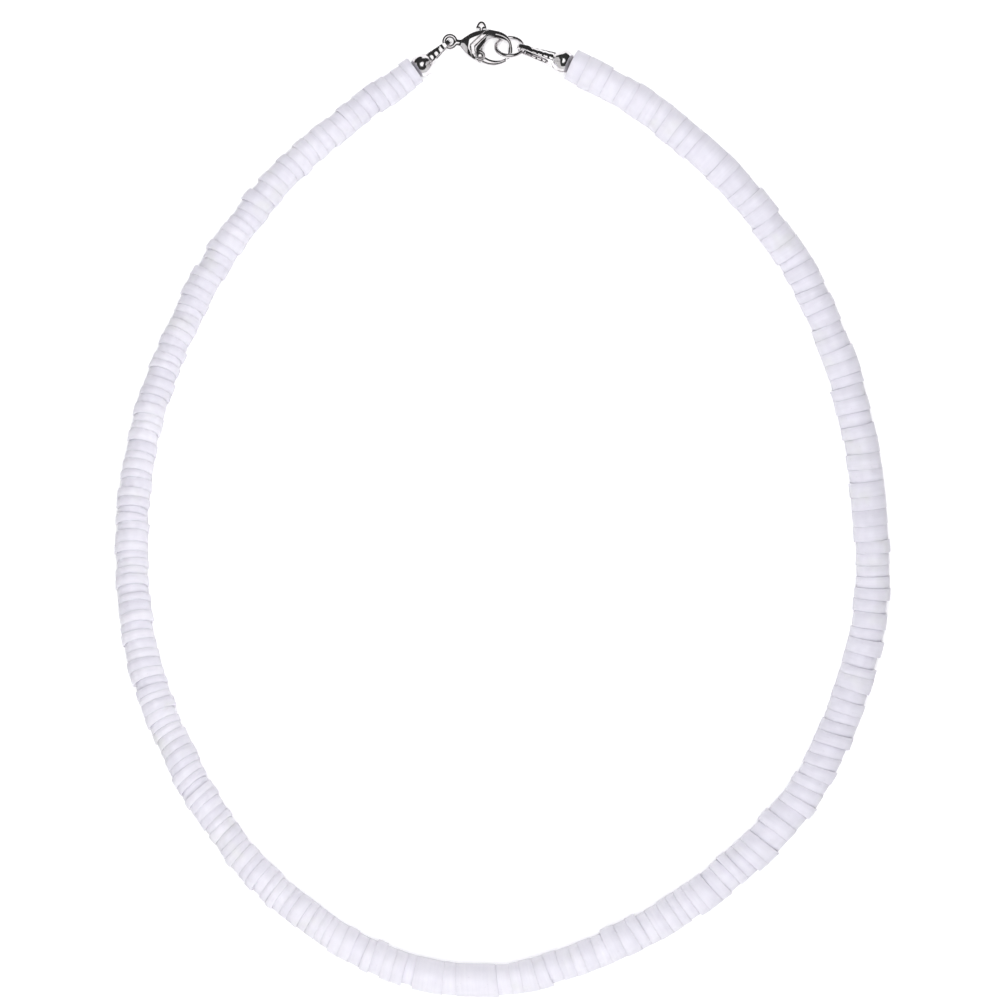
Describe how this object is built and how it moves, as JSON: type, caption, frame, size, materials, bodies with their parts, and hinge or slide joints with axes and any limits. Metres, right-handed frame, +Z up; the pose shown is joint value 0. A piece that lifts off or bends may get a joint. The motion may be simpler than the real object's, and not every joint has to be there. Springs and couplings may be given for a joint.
{
  "type": "shell bead necklace",
  "caption": "Necklace of small drilled shell discs on a thread, lying as a whole loop, with knot cups, a jump ring and a lobster clasp.",
  "frame": {"origin": "under the middle of the loop's overall box, on the surface that the necklace lies on", "axes": "+Z up from the surface, +Y towards the clasp, +X towards the strand that ends at the jump ring"},
  "size_m": [0.136, 0.171, 0.0069],
  "materials": {
    "shell": "tumbled shell, soft gloss",
    "thread": "twisted beading thread",
    "plated_metal": "silver-coloured plating, polished"
  },
  "bodies": {
    "necklace": {"shell_beads_left": "shell", "shell_beads_right": "shell", "thread": "thread", "bead_tip_left": "plated_metal", "bead_tip_right": "plated_metal", "clasp_body": "plated_metal", "clasp_pin": "plated_metal", "jump_ring": "plated_metal"},
    "lever": {"clasp_lever": "plated_metal"}
  },
  "joints": [
    {"name": "lever_hinge", "type": "hinge", "parent": "necklace", "child": "lever", "pos_m": [-0.00392, 0.07936, 0.00212], "axis": [0, 0, 1], "range_deg": [0, 15], "stiffness_Nm_per_rad": 0.02, "springref_deg": -17.19}
  ]
}
